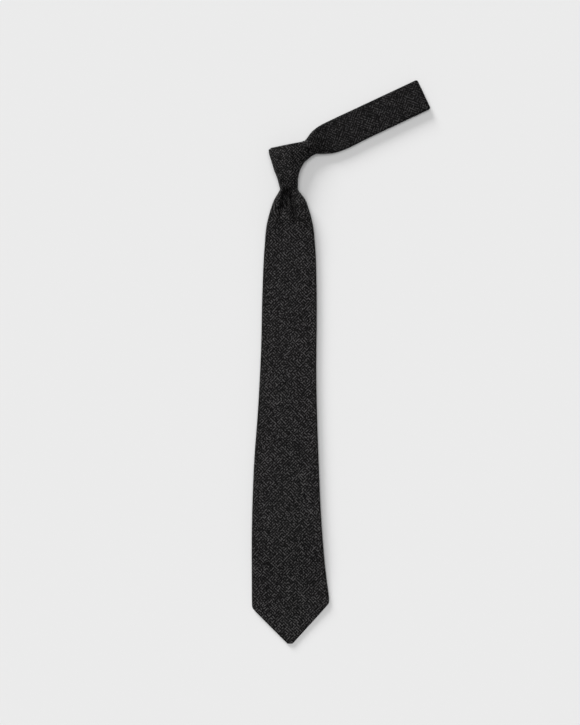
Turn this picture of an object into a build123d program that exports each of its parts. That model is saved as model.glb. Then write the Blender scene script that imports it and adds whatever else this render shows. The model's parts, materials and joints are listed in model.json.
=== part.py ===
"""Necktie in a four-in-hand knot, lying on its back with its neck loop folded flat.

Frame: the origin is the middle of the knot's flat back. The tie hangs along -Y, its face
looks along +Z, and Z = 0 is the surface that it lies on. Units are millimetres.
"""

import os
from math import cos, radians, sin

from build123d import *

# ---------------------------------------------------------------- driving dimensions

# Cloth, as folded into the tie's envelope
SILK = 0.8  # one wall of folded silk
BLADE_THICK = 4.0  # silk, interlining and silk again
TAIL_THICK = 3.0
PLY_THICK = 2.8  # one pass of the neck band
FIT = 0.3  # gap between pieces that slide past each other
HINGE_GAP = 0.4  # gap between two stretches of cloth that fold against each other

# Lengths down the tie, as positions along Y
MOUTH_Y = -22.5  # where the blades leave the knot
TIP_FOLD_Y = -400.0  # where the front tip can be turned up, past the tail's end
FRONT_TACK_Y = -437.0  # end of the front blade's back seam
FRONT_TIP_Y = -508.8
TIP_INSET = 1.4  # how far a square tip backs off for each mm that its edges do
TAIL_TACK_Y = -326.0
TAIL_CORNER_Y = -352.0
TAIL_TIP_Y = -372.0
KEEPER_Y = -267.0
KEEPER_WIDE = 12.0

# Edges of the front blade: (Y, left X, right X)
BLADE_EDGES = [
    (MOUTH_Y, -10.6, 7.6),
    (-46.0, -20.8, 19.6),
    (-84.0, -27.0, 26.0),
    (-150.0, -29.6, 27.7),
    (-255.0, -34.0, 27.9),
    (-380.0, -40.4, 33.0),
    (-465.0, -40.7, 41.0),
]

# Back face of the front blade: (Y, Z). It comes down from the knot, lies over the tail
# and settles on the surface below the tail's end.
BLADE_BACK = [(MOUTH_Y, 9.0), (-78.0, 5.0), (TIP_FOLD_Y, 5.0), (-446.0, 0.6), (-515.0, 0.6)]

# Tail
TAIL_ROOT_WIDE = 27.0
TAIL_END_WIDE = 40.0
TAIL_BACK_Z = 1.1
THROAT_END_Y = -80.0  # where the tail leaves its throat
THROAT_WIDE = 21.0
THROAT_Z = (0.4, 4.8)
TONGUE_WIDE = 16.0
TONGUE_START_Y = -40.0
TONGUE_THICK = 1.8

# Sewing
SEAM_WIDE = 0.8  # gap between a blade's back edges
SEAM_INTO_OPENING = 3.0  # how far that gap runs on into the opening below it
SEAM_THREAD = 0.5
SEAM_TOP_Y = -84.0
TACK_LONG = 7.0
TACK_WIDE = 1.4
TACK_PROUD = 0.4
LINING = 0.4
STITCH = 0.3
STITCH_LONG = 3.0
BITE = 0.1  # how far a cut runs past the wall that it opens

# Keeper loop and labels
KEEPER_HALF = 20.5
KEEPER_TAB = 5.0
LABEL_Y = -236.0
LABEL_WIDE = 42.0
LABEL_LONG = 20.0
LABEL_THICK = 0.4
CARE_LABEL_Y = -140.0
CARE_LABEL_WIDE = 14.0
CARE_LABEL_LONG = 24.0

# Knot
WRAP_SILK = 1.2
WRAP_PADDING = 2.0
BACK_WRAP_THICK = 4.0
STRAND_Z = BACK_WRAP_THICK
STRAND_THICK = 4.0
STRAND_WIDE = 11.6
STRAND_X = -1.05
# Sections of the front wrap: (Y, left X, right X, shoulder Z, crown Z)
WRAP_SECTIONS = [
    (-22.0, -10.7, 8.6, 14.5, 17.5),
    (-2.0, -15.6, 12.0, 16.5, 20.5),
    (21.0, -21.0, 19.0, 17.0, 22.0),
]
BACK_WRAP_OUTLINE = [(-10.2, -22), (8.1, -22), (19, 12), (14, 22), (-14, 20.5), (-20, 17.5)]
RISING_PASS_OUTLINE = [(-16, 21.4), (-6.4, 24.4), (7.5, 25.7), (19, 31), (17, 21.4)]
RISING_PASS_TOP_Z = 18.0

# Neck band
THROAT_AT = (24.1, 22.9)  # where the neck band leaves the knot
BAND_ANGLE = 25.2  # from +X
BAND_WIDE = 33.0
BAND_REACH = 130.9  # from the throat to the folded end
BAND_START = 25.2
SLEEVE_END = 30.0
SLEEVE_TURN_R = 9.3  # round end of the throat, at the knot
KNOT_RELIEF_R = 11.0
SLEEVE_THICK = 8.2
SLEEVE_NECK = 5.0
SLEEVE_FULL = 11.5
SLEEVE_HALF = 17.6
DRAW = 12.5  # travel of the neck band into its throat
LOWER_PLY_Z = 1.1
PLY_GAP = 0.4
PIECING_AT = 80.0

BAND = Plane(
    origin=(*THROAT_AT, 0),
    x_dir=(cos(radians(BAND_ANGLE)), sin(radians(BAND_ANGLE)), 0),
    z_dir=(0, 0, 1),
)

os.makedirs("parts", exist_ok=True)


def save(piece, label):
    """Labels a finished piece and writes it as parts/label.step."""
    piece.label = label
    export_step(piece, f"parts/{label}.step")


def slab(y_low, y_high, z_low, z_high, wide, x=0.0):
    """Makes a plain block from its limits along Y and Z and its width along X."""
    with BuildPart() as block:
        with BuildSketch(Plane.XY.offset(z_low)):
            with Locations((x, (y_low + y_high) / 2)):
                Rectangle(wide, y_high - y_low)
        extrude(amount=z_high - z_low)
    return block.part


# ---------------------------------------------------------------- front blade


def blade_layer(low, high):
    """Makes a layer that follows the front blade's back, from low to high above it."""
    with BuildPart() as layer:
        with BuildSketch(Plane.YZ):
            with BuildLine():
                under = [(y, z + low) for y, z in BLADE_BACK]
                over = [(y, z + high) for y, z in reversed(BLADE_BACK)]
                Polyline(*under, *over, close=True)
            make_face()
        extrude(amount=60, both=True)
    return layer.part


def blade_solid(inset, low, high):
    """Makes the front blade's whole length, inset from its outline, between two layers."""
    left = [(x + inset, y) for y, x, _ in BLADE_EDGES]
    right = [(x - inset, y) for y, _, x in BLADE_EDGES]
    with BuildPart() as blade:
        with BuildSketch():
            with BuildLine():
                Spline(*left)
                Polyline(left[-1], (0, FRONT_TIP_Y + TIP_INSET * inset), right[-1])
                Spline(*right)
                Line(right[0], left[0])
            make_face()
        extrude(amount=30)
        add(blade_layer(low, high), mode=Mode.INTERSECT)
    return blade.part


def between(y_low, y_high):
    """Makes the block that keeps only a stretch of the tie along Y."""
    return slab(y_low, y_high, -1, 40, 120)


UPPER_STRETCH = between(TIP_FOLD_Y, MOUTH_Y - HINGE_GAP)
TIP_STRETCH = between(FRONT_TIP_Y - 5, TIP_FOLD_Y - HINGE_GAP)


def lay_on_blade(y_low, y_high, wide, low, high, x=0.0):
    """Makes a narrow strip that lies on the front blade's back."""
    with BuildPart() as strip:
        add(slab(y_low, y_high, -1, 30, wide, x))
        add(blade_layer(low, high), mode=Mode.INTERSECT)
    return strip.part


def back_opening(tack_y, half_wide, corner_y, end_y):
    """Makes the pointed opening in a blade's back, from its bar tack to its tip's hem."""
    with BuildPart() as opening:
        with BuildSketch():
            with BuildLine():
                Polyline(
                    (0, tack_y), (-half_wide, corner_y), (0, end_y), (half_wide, corner_y),
                    close=True,
                )
            make_face()
        extrude(amount=30)
    return opening.part


def blade_layers_of(piece, low, high):
    """Keeps what a piece has between two layers over the front blade's back."""
    with BuildPart() as kept:
        add(piece)
        add(blade_layer(low, high), mode=Mode.INTERSECT)
    return kept.part


def blade_envelope():
    """Makes the front blade's folded silk: hollow, with its back seam open as a slit."""
    with BuildPart() as envelope:
        add(blade_solid(0, 0, BLADE_THICK))
        add(blade_solid(SILK, SILK, BLADE_THICK - SILK), mode=Mode.SUBTRACT)
        add(
            lay_on_blade(FRONT_TACK_Y - SEAM_INTO_OPENING, 0, SEAM_WIDE, -1, SILK + BITE),
            mode=Mode.SUBTRACT,
        )
    return envelope.part


front_opening = back_opening(FRONT_TACK_Y, 31, -468, -499)
front_envelope = blade_envelope()

with BuildPart() as front_blade_shell:
    add(front_envelope)
    add(UPPER_STRETCH, mode=Mode.INTERSECT)
save(front_blade_shell.part, "front_blade_shell")

with BuildPart() as front_tip_shell:
    add(front_envelope)
    add(blade_layers_of(front_opening, -1, SILK + BITE), mode=Mode.SUBTRACT)
    add(TIP_STRETCH, mode=Mode.INTERSECT)
save(front_tip_shell.part, "front_tip_shell")

front_filling = blade_solid(SILK, SILK, BLADE_THICK - SILK)

with BuildPart() as front_blade_interlining:
    add(front_filling)
    add(UPPER_STRETCH, mode=Mode.INTERSECT)
save(front_blade_interlining.part, "front_blade_interlining")

with BuildPart() as front_tip_interlining:
    add(front_filling)
    add(TIP_STRETCH, mode=Mode.INTERSECT)
save(front_tip_interlining.part, "front_tip_interlining")

with BuildPart() as front_tipping:
    add(blade_layers_of(front_opening, SILK - LINING, SILK))
save(front_tipping.part, "front_tipping")

with BuildPart() as front_seam_thread:
    add(lay_on_blade(TIP_FOLD_Y + 1, SEAM_TOP_Y, SEAM_THREAD, 0, SEAM_THREAD))
save(front_seam_thread.part, "front_seam_thread")

with BuildPart() as tip_seam_thread:
    add(lay_on_blade(FRONT_TACK_Y + 2, TIP_FOLD_Y - 1, SEAM_THREAD, 0, SEAM_THREAD))
save(tip_seam_thread.part, "tip_seam_thread")

with BuildPart() as front_bar_tack:
    add(lay_on_blade(FRONT_TACK_Y, FRONT_TACK_Y + TACK_LONG, TACK_WIDE, -TACK_PROUD, 0))
save(front_bar_tack.part, "front_bar_tack")

# ---------------------------------------------------------------- keeper loop and label

keeper_back_z = 5.0 - SILK  # its folded ends lie flat against the blade's back

with BuildPart() as keeper_loop:
    with BuildSketch(Plane.XZ.offset(-(KEEPER_Y - KEEPER_WIDE / 2))):
        with Locations((0, keeper_back_z / 2)):
            Rectangle(2 * KEEPER_HALF, keeper_back_z)
        with Locations((0, keeper_back_z + SILK / 2)):
            Rectangle(2 * (KEEPER_HALF + KEEPER_TAB), SILK)
        with Locations((0, SILK + 5)):
            Rectangle(2 * (KEEPER_HALF - SILK), 10, mode=Mode.SUBTRACT)
    extrude(amount=-KEEPER_WIDE)
save(keeper_loop.part, "keeper_loop")

with BuildPart() as keeper_stitches:
    with BuildSketch(Plane.XY.offset(keeper_back_z - TACK_PROUD)):
        stitch_x = KEEPER_HALF + KEEPER_TAB / 2
        with Locations((-stitch_x, KEEPER_Y), (stitch_x, KEEPER_Y)):
            Rectangle(TACK_WIDE, KEEPER_WIDE - 2)
    extrude(amount=TACK_PROUD)
save(keeper_stitches.part, "keeper_stitches")

with BuildPart() as brand_label:
    add(slab(LABEL_Y - LABEL_LONG / 2, LABEL_Y + LABEL_LONG / 2, 5 - LABEL_THICK, 5, LABEL_WIDE))
save(brand_label.part, "brand_label")

with BuildPart() as label_stitches:
    with BuildSketch(Plane.XY.offset(5 - LABEL_THICK - STITCH)):
        side = LABEL_WIDE / 2 - 1.5
        end = LABEL_LONG / 2 - 1.5
        with Locations(*[(x, LABEL_Y + y) for x in (-side, side) for y in (-end, end)]):
            Rectangle(STITCH_LONG, STITCH)
    extrude(amount=STITCH)
save(label_stitches.part, "label_stitches")

# ---------------------------------------------------------------- tail


def tail_half_wide(y):
    """Gives half the tail's width at a place along it."""
    part_way = (THROAT_END_Y - y) / (THROAT_END_Y - TAIL_CORNER_Y)
    return (TAIL_ROOT_WIDE + part_way * (TAIL_END_WIDE - TAIL_ROOT_WIDE)) / 2


def tail_solid(inset, low, high):
    """Makes the tail past its throat, inset from its outline, between two heights."""
    top_y = THROAT_END_Y - FIT - inset
    corner_y = TAIL_CORNER_Y
    top = tail_half_wide(top_y) - inset
    corner = tail_half_wide(corner_y) - inset
    with BuildPart() as tail:
        with BuildSketch(Plane.XY.offset(TAIL_BACK_Z + low)):
            with BuildLine():
                Polyline(
                    (-top, top_y), (-corner, corner_y), (0, TAIL_TIP_Y + TIP_INSET * inset),
                    (corner, corner_y), (top, top_y), close=True,
                )
            make_face()
        extrude(amount=high - low)
    return tail.part


tongue_z = TAIL_BACK_Z + (TAIL_THICK - TONGUE_THICK) / 2

with BuildPart() as tail_throat:
    with BuildSketch(Plane.YZ):
        with BuildLine():
            Polyline(
                (MOUTH_Y - HINGE_GAP, STRAND_Z),
                (MOUTH_Y - HINGE_GAP, STRAND_Z + STRAND_THICK),
                (TONGUE_START_Y + 4, THROAT_Z[1]),
                (THROAT_END_Y, THROAT_Z[1]),
                (THROAT_END_Y, THROAT_Z[0]),
                (TONGUE_START_Y + 4, THROAT_Z[0]),
                close=True,
            )
        make_face()
    extrude(amount=THROAT_WIDE / 2, both=True)
    add(
        slab(
            THROAT_END_Y - 1, TONGUE_START_Y + 1,
            tongue_z - FIT, tongue_z + TONGUE_THICK + FIT, TONGUE_WIDE + 2 * FIT,
        ),
        mode=Mode.SUBTRACT,
    )
save(tail_throat.part, "tail_throat")

tail_opening = back_opening(TAIL_TACK_Y, 14, TAIL_CORNER_Y - 1, TAIL_TIP_Y + 7)

with BuildPart() as tail_shell:
    add(tail_solid(0, 0, TAIL_THICK))
    add(tail_solid(SILK, SILK, TAIL_THICK - SILK), mode=Mode.SUBTRACT)
    seam_y = (TAIL_TACK_Y - SEAM_INTO_OPENING, SEAM_TOP_Y)
    add(slab(*seam_y, 0, TAIL_BACK_Z + SILK + BITE, SEAM_WIDE), mode=Mode.SUBTRACT)
    with BuildPart(mode=Mode.PRIVATE) as tail_opening_cut:
        add(tail_opening)
        add(slab(-400, -300, 0, TAIL_BACK_Z + SILK + BITE, 60), mode=Mode.INTERSECT)
    add(tail_opening_cut.part, mode=Mode.SUBTRACT)
    add(slab(THROAT_END_Y - FIT, TONGUE_START_Y, tongue_z, tongue_z + TONGUE_THICK, TONGUE_WIDE))
save(tail_shell.part, "tail_shell")

with BuildPart() as tail_interlining:
    add(tail_solid(SILK, SILK, TAIL_THICK - SILK))
save(tail_interlining.part, "tail_interlining")

with BuildPart() as tail_tipping:
    add(tail_opening)
    tipping_z = TAIL_BACK_Z + SILK
    add(slab(-400, -300, tipping_z - LINING, tipping_z, 60), mode=Mode.INTERSECT)
save(tail_tipping.part, "tail_tipping")

with BuildPart() as tail_seam_thread:
    add(
        slab(
            TAIL_TACK_Y + 2, SEAM_TOP_Y - 2,
            TAIL_BACK_Z, TAIL_BACK_Z + SEAM_THREAD, SEAM_THREAD,
        )
    )
save(tail_seam_thread.part, "tail_seam_thread")

with BuildPart() as tail_bar_tack:
    add(
        slab(
            TAIL_TACK_Y, TAIL_TACK_Y + TACK_LONG,
            TAIL_BACK_Z - TACK_PROUD, TAIL_BACK_Z, TACK_WIDE,
        )
    )
save(tail_bar_tack.part, "tail_bar_tack")

with BuildPart() as care_label:
    add(
        slab(
            CARE_LABEL_Y - CARE_LABEL_LONG, CARE_LABEL_Y,
            TAIL_BACK_Z - LABEL_THICK, TAIL_BACK_Z, CARE_LABEL_WIDE,
        )
    )
save(care_label.part, "care_label")

# ---------------------------------------------------------------- knot

with BuildPart() as throat_relief:
    with BuildSketch(Plane.XY.offset(-1)):
        with Locations(THROAT_AT):
            Circle(KNOT_RELIEF_R)
    extrude(amount=SLEEVE_THICK + 2)


def wrap_solid(inset):
    """Makes the arched block that the front wrap's outside encloses, inset all round."""
    with BuildPart() as wrap:
        for y, left, right, shoulder, crown in WRAP_SECTIONS:
            middle = (left + right) / 2
            with BuildSketch(Plane.XZ.offset(-y)):
                with BuildLine():
                    base = Polyline(
                        (left + inset, shoulder - inset),
                        (left + inset, BACK_WRAP_THICK),
                        (right - inset, BACK_WRAP_THICK),
                        (right - inset, shoulder - inset),
                    )
                    ThreePointArc(base @ 1, (middle, crown - inset), base @ 0)
                make_face()
        loft()
    return wrap.part


with BuildPart() as knot_front_wrap:
    add(wrap_solid(0))
    add(wrap_solid(WRAP_SILK), mode=Mode.SUBTRACT)
    add(throat_relief.part, mode=Mode.SUBTRACT)
save(knot_front_wrap.part, "knot_front_wrap")

with BuildPart() as wrap_interlining:
    add(wrap_solid(WRAP_SILK))
    add(wrap_solid(WRAP_SILK + WRAP_PADDING), mode=Mode.SUBTRACT)
    add(throat_relief.part, mode=Mode.SUBTRACT)
save(wrap_interlining.part, "wrap_interlining")

with BuildPart() as knot_back_wrap:
    with BuildSketch():
        with BuildLine():
            Polyline(*BACK_WRAP_OUTLINE, close=True)
        make_face()
        fillet(vertices(), radius=2)
    extrude(amount=BACK_WRAP_THICK)
    add(throat_relief.part, mode=Mode.SUBTRACT)
save(knot_back_wrap.part, "knot_back_wrap")

with BuildPart() as knot_rising_pass:
    with BuildSketch(Plane.XY.offset(BACK_WRAP_THICK)):
        with BuildLine():
            Polyline(*RISING_PASS_OUTLINE, close=True)
        make_face()
        fillet(vertices(), radius=1)
    extrude(amount=RISING_PASS_TOP_Z - BACK_WRAP_THICK)
    fillet(faces().sort_by(Axis.Z)[-1].edges(), radius=1)
    add(throat_relief.part, mode=Mode.SUBTRACT)
save(knot_rising_pass.part, "knot_rising_pass")

strand_y = (WRAP_SECTIONS[0][0], WRAP_SECTIONS[-1][0])

with BuildPart() as knot_tail_strand:
    add(slab(*strand_y, STRAND_Z, STRAND_Z + STRAND_THICK, STRAND_WIDE, STRAND_X))
save(knot_tail_strand.part, "knot_tail_strand")

with BuildPart() as blade_root:
    add(slab(*strand_y, BLADE_BACK[0][1], BLADE_BACK[0][1] + BLADE_THICK, STRAND_WIDE, STRAND_X))
    fillet(edges().filter_by(Axis.Y).group_by(Axis.Z)[-1], radius=1.5)
save(blade_root.part, "blade_root")

# ---------------------------------------------------------------- neck band


def band_block(s_low, s_high, z_low, z_high, wide):
    """Makes a plain block in the neck band's own frame: S along it, T across it."""
    with BuildPart() as block:
        with BuildSketch(BAND.offset(z_low)):
            with Locations(((s_low + s_high) / 2, 0)):
                Rectangle(s_high - s_low, wide)
        extrude(amount=z_high - z_low)
    return block.part


with BuildPart() as neck_throat_shell:
    with BuildSketch(BAND):
        with BuildLine():
            Polyline(
                (0, -SLEEVE_TURN_R), (SLEEVE_NECK, -SLEEVE_TURN_R), (SLEEVE_FULL, -SLEEVE_HALF),
                (SLEEVE_END, -SLEEVE_HALF), (SLEEVE_END, SLEEVE_HALF), (SLEEVE_FULL, SLEEVE_HALF),
                (SLEEVE_NECK, SLEEVE_TURN_R), (0, SLEEVE_TURN_R), close=True,
            )
        make_face()
        Circle(SLEEVE_TURN_R)
    extrude(amount=SLEEVE_THICK)
    add(
        band_block(
            BAND_START - DRAW - FIT, SLEEVE_END + 1, SILK, SLEEVE_THICK - SILK,
            BAND_WIDE + 2 * FIT,
        ),
        mode=Mode.SUBTRACT,
    )
save(neck_throat_shell.part, "neck_throat_shell")

fold_at = BAND_REACH - PLY_THICK - PLY_GAP / 2  # where the plies turn over into each other

for name, ply_z in (("lower", LOWER_PLY_Z), ("upper", LOWER_PLY_Z + PLY_THICK + PLY_GAP)):
    inner_z = (ply_z + SILK, ply_z + PLY_THICK - SILK)
    with BuildPart() as neck_ply:
        add(band_block(BAND_START, fold_at, ply_z, ply_z + PLY_THICK, BAND_WIDE))
        add(
            band_block(BAND_START + SILK, fold_at - SILK, *inner_z, BAND_WIDE - 2 * SILK),
            mode=Mode.SUBTRACT,
        )
    save(neck_ply.part, f"neck_{name}_ply")
    with BuildPart() as ply_interlining:
        add(band_block(BAND_START + SILK, fold_at - SILK, *inner_z, BAND_WIDE - 2 * SILK))
    save(ply_interlining.part, f"{name}_ply_interlining")

with BuildPart() as neck_fold:
    with BuildSketch(Plane(BAND.origin, x_dir=BAND.x_dir, z_dir=-BAND.y_dir)):
        with Locations((fold_at, LOWER_PLY_Z + PLY_THICK + PLY_GAP / 2)):
            Circle(PLY_THICK + PLY_GAP / 2)
            Circle(PLY_GAP / 2, mode=Mode.SUBTRACT)
            with Locations((-10, 0)):
                Rectangle(20, 20, mode=Mode.SUBTRACT)
    extrude(amount=BAND_WIDE / 2, both=True)
save(neck_fold.part, "neck_fold")

with BuildPart() as piecing_seam:
    with BuildSketch(BAND.offset(LOWER_PLY_Z - STITCH)):
        with Locations((PIECING_AT, 0)):
            Rectangle(STITCH, BAND_WIDE, rotation=45)
            Rectangle(BAND_WIDE, BAND_WIDE, mode=Mode.INTERSECT)
    extrude(amount=STITCH)
save(piecing_seam.part, "piecing_seam")
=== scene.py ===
"""Looks of the necktie: its silk envelopes, its knot, linings, sewing and labels.

Shapes are worked out in millimetres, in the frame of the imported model: +X to the right,
+Y up the tie, +Z out of its face, with the floor at Z = 0.
"""

import json
from math import cos, pi, radians, sin, sqrt

import bmesh
import bpy
import numpy as np
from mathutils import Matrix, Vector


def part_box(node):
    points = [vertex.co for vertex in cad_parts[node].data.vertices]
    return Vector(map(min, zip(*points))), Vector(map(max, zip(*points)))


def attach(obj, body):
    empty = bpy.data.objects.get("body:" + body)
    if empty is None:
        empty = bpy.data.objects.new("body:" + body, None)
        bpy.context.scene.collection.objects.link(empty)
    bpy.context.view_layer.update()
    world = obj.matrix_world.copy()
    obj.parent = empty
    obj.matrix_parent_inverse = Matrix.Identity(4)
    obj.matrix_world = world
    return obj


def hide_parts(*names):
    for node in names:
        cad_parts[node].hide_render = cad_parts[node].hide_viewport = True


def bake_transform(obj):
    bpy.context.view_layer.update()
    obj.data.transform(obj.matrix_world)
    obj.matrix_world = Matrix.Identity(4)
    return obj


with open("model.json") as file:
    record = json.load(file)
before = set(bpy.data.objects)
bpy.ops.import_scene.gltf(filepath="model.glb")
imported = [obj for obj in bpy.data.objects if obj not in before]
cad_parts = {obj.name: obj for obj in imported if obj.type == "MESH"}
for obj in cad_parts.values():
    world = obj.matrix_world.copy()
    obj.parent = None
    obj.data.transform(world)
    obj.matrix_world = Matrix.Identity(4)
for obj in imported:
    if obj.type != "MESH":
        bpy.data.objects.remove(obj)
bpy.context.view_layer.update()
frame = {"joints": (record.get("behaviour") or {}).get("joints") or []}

MM = 0.001
joints = {joint["name"]: joint for joint in frame["joints"]}


def place_of(joint):
    """Gives a hinge's place in millimetres."""
    return np.array(joints[joint]["pos_m"]) / MM


def low(node):
    """Gives a CAD node's lowest corner in millimetres."""
    return np.array(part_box(node)[0]) / MM


def high(node):
    """Gives a CAD node's highest corner in millimetres."""
    return np.array(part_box(node)[1]) / MM


# --- sizes from the frame

MOUTH_Y = place_of("front_blade_lift")[1]
FOLD_Y = place_of("front_tip_lift")[1]
TIP_Y = low("front_tip_shell")[1]
TACK_Y = low("front_bar_tack")[1]
BLADE_BACK_Z = low("front_blade_shell")[2]
TAIL_TIP_Y = low("tail_shell")[1]
TAIL_TACK_Y = low("tail_bar_tack")[1]
TAIL_BACK_Z = low("tail_shell")[2]
TAIL_THICK = high("tail_shell")[2] - TAIL_BACK_Z
THROAT = place_of("neck_loop_swing")[:2]
ALONG = -np.array(joints["neck_loop_draw"]["axis"])[:2]
ACROSS = np.array([-ALONG[1], ALONG[0]])

WALL = 0.55  # silk as one folded wall
PLY_THICK = 2.8
BLADE_CUT_Y = -205.0  # where the front blade's upper and lower pieces meet
TAIL_CUT_Y = -58.0  # where the tail comes out of its root
NECK_START = -19.0  # places along the neck: where its strands start inside the knot,
THROAT_CUT = 22.0  # where they meet the neck band,
PIECING = 80.0  # where the band is pieced,
BAND_END = 130.9  # and where it is bent back on itself
ROUND_STEPS = 9  # points round a rolled edge
FLAP_STEPS = 10  # points across a back flap
THREAD_SIDES = 6


# --- bends: two bodies, and where the cloth between them would start and stop following; a piece laid over a bend is left where it is made


def on_neck(s):
    """Gives a place on the neck's middle line, s millimetres from the throat's hinge."""
    return (*(THROAT + s * ALONG), 0)


MOUTH_BEND = ("knot", "front_blade", (0, MOUTH_Y, 13), (0, -58, 13))
ROOT_BEND = ("knot", "front_blade", (0, MOUTH_Y, 13), (0, -56, 13))
TIP_BEND = ("front_blade", "front_tip", (0, FOLD_Y, 9), (0, FOLD_Y - 32, 9))
TAIL_BEND = ("front_blade", "tail_blade", (0, -62, 0), (0, -150, 0))
THROAT_BEND = ("knot", "neck_throat", on_neck(0), on_neck(18))
BAND_BEND = ("neck_throat", "neck_band", on_neck(26), on_neck(86))


# --- small mathematics


def ease(x, start=0.0, end=1.0):
    """Turns smoothly from 0 at start to 1 at end."""
    t = np.clip((np.asarray(x, float) - start) / (end - start), 0, 1)
    return t * t * (3 - 2 * t)


def bump(x, middle, half):
    """Is a smooth bump, 1 at its middle and nearly 0 two halves away."""
    return np.exp(-(((np.asarray(x, float) - middle) / half) ** 2))


def crease(x, middle, half):
    """Is a sharp valley's depth: 1 at its middle, falling off steeply on both sides."""
    away = np.sqrt((np.asarray(x, float) - middle) ** 2 + 0.12) / half
    return np.exp(-(away**1.25))


def curve(points, x):
    """Reads a smooth curve through (place, value) points; a value may be a point too."""
    points = sorted(points, key=lambda p: p[0])
    places = np.array([p[0] for p in points], float)
    values = np.array([p[1] for p in points], float).reshape(len(points), -1)
    slopes = np.gradient(values, places, axis=0)
    x = np.clip(np.atleast_1d(np.asarray(x, float)), places[0], places[-1])
    i = np.clip(np.searchsorted(places, x) - 1, 0, len(places) - 2)
    step = (places[i + 1] - places[i])[:, None]
    t = (x[:, None] - places[i][:, None]) / step
    t2 = t * t
    t3 = t2 * t
    out = (
        (2 * t3 - 3 * t2 + 1) * values[i]
        + (t3 - 2 * t2 + t) * step * slopes[i]
        + (3 * t2 - 2 * t3) * values[i + 1]
        + (t3 - t2) * step * slopes[i + 1]
    )
    return out if out.shape[1] > 1 else out[:, 0]


def spaced(*stops):
    """Makes rising or falling places: spaced((0, 2), (10, 5), (30, 0)) steps by 2, then 5."""
    out = []
    for (start, step), (end, _) in zip(stops, stops[1:]):
        count = max(1, round(abs(end - start) / step))
        out += list(np.linspace(start, end, count, endpoint=False))
    return np.array(out + [stops[-1][0]])


def unit(vectors):
    """Scales vectors to a length of 1."""
    return vectors / np.maximum(np.linalg.norm(vectors, axis=-1, keepdims=True), 1e-9)


def section(x, y, z):
    """Gives a row of points that all lie at one place along Y."""
    return np.column_stack([x, np.full(len(x), y), z])


# --- mesh builders


def add_object(name, data):
    """Puts a new object in the scene."""
    thing = bpy.data.objects.new(name, data)
    bpy.context.scene.collection.objects.link(thing)
    return thing


def grid_normals(grid):
    """Gives unit normals of a grid of points: rows cross columns."""
    return unit(np.cross(np.gradient(grid, axis=0), np.gradient(grid, axis=1)))


def arc_lengths(grid, axis):
    """Adds up the distances between a grid's points along one axis, from 0."""
    steps = np.linalg.norm(np.diff(grid, axis=axis), axis=2)
    total = np.cumsum(steps, axis=axis)
    start = np.zeros_like(np.take(total, [0], axis=axis))
    return np.concatenate([start, total], axis=axis)


def cloth_places(grid, start=0.0):
    """Gives each point its place on the flat cloth: across from the middle, and along."""
    across = arc_lengths(grid, 1)
    middle = grid.shape[1] // 2
    across = across - across[:, middle : middle + 1]
    along = start - arc_lengths(grid[:, middle : middle + 1], 0)
    return np.dstack([across, np.broadcast_to(along, across.shape)])


def make_mesh(name, points, quads, places):
    """Makes an object from points in millimetres, quads, and cloth places of the points."""
    mesh = bpy.data.meshes.new(name)
    mesh.from_pydata((np.asarray(points) * MM).tolist(), [], quads)
    layer = mesh.uv_layers.new(name="Cloth")
    corners = np.empty(len(mesh.loops), dtype=np.int32)
    mesh.loops.foreach_get("vertex_index", corners)
    layer.data.foreach_set("uv", (np.asarray(places)[corners] * MM).astype(np.float32).ravel())
    mesh.polygons.foreach_set("use_smooth", [True] * len(mesh.polygons))
    mesh.update()
    return add_object(name, mesh)


def weld(piece):
    """Merges points that lie on each other, and drops faces with no area."""
    distance = 0.002 * MM
    work = bmesh.new()
    work.from_mesh(piece.data)
    bmesh.ops.remove_doubles(work, verts=work.verts, dist=distance)
    bmesh.ops.dissolve_degenerate(work, edges=work.edges, dist=distance)
    work.to_mesh(piece.data)
    work.free()
    piece.data.set_sharp_from_angle(angle=radians(55))
    return piece


def grid_quads(numbers, flip=False):
    """Lists the quads between the rows and columns of a table of point numbers."""
    near, far = numbers[:-1], numbers[1:]
    quads = np.stack([near[:, :-1], far[:, :-1], far[:, 1:], near[:, 1:]], axis=2).reshape(-1, 4)
    return (quads[:, ::-1] if flip else quads).tolist()


def thin_sheet(name, grid, wall=WALL, places=None, start=0.0):
    """Makes a closed thin sheet from its outer surface, a grid of points."""
    rows, columns = grid.shape[:2]
    inner = grid - wall * grid_normals(grid)
    if places is None:
        places = cloth_places(grid, start)
    outside = np.arange(rows * columns).reshape(rows, columns)
    inside = outside + rows * columns
    quads = grid_quads(outside) + grid_quads(inside, flip=True)
    for rim, flip in ((np.s_[0], False), (np.s_[-1], True),
                      (np.s_[:, 0], True), (np.s_[:, -1], False)):
        quads += grid_quads(np.stack([outside[rim], inside[rim]], axis=1), flip)
    points = np.concatenate([grid.reshape(-1, 3), inner.reshape(-1, 3)])
    places = np.concatenate([places.reshape(-1, 2)] * 2)
    return weld(make_mesh(name, points, quads, places))


def filling(name, rings):
    """Makes a closed padding from the rings of points round it."""
    rows, columns = rings.shape[:2]
    rings = np.concatenate([rings, rings[:, :1]], axis=1)
    places = cloth_places(rings)
    quads = grid_quads(np.arange(rows * (columns + 1)).reshape(rows, -1))
    points = list(rings.reshape(-1, 3))
    spots = list(places.reshape(-1, 2))
    for row, flip in ((0, False), (rows - 1, True)):
        middle = len(points)
        points.append(rings[row, :-1].mean(axis=0))
        spots.append(places[row].mean(axis=0))
        first = row * (columns + 1)
        for j in range(columns):
            face = (middle, first + j, first + j + 1)
            quads.append(face[::-1] if flip else face)
    return weld(make_mesh(name, points, quads, spots))


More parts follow.
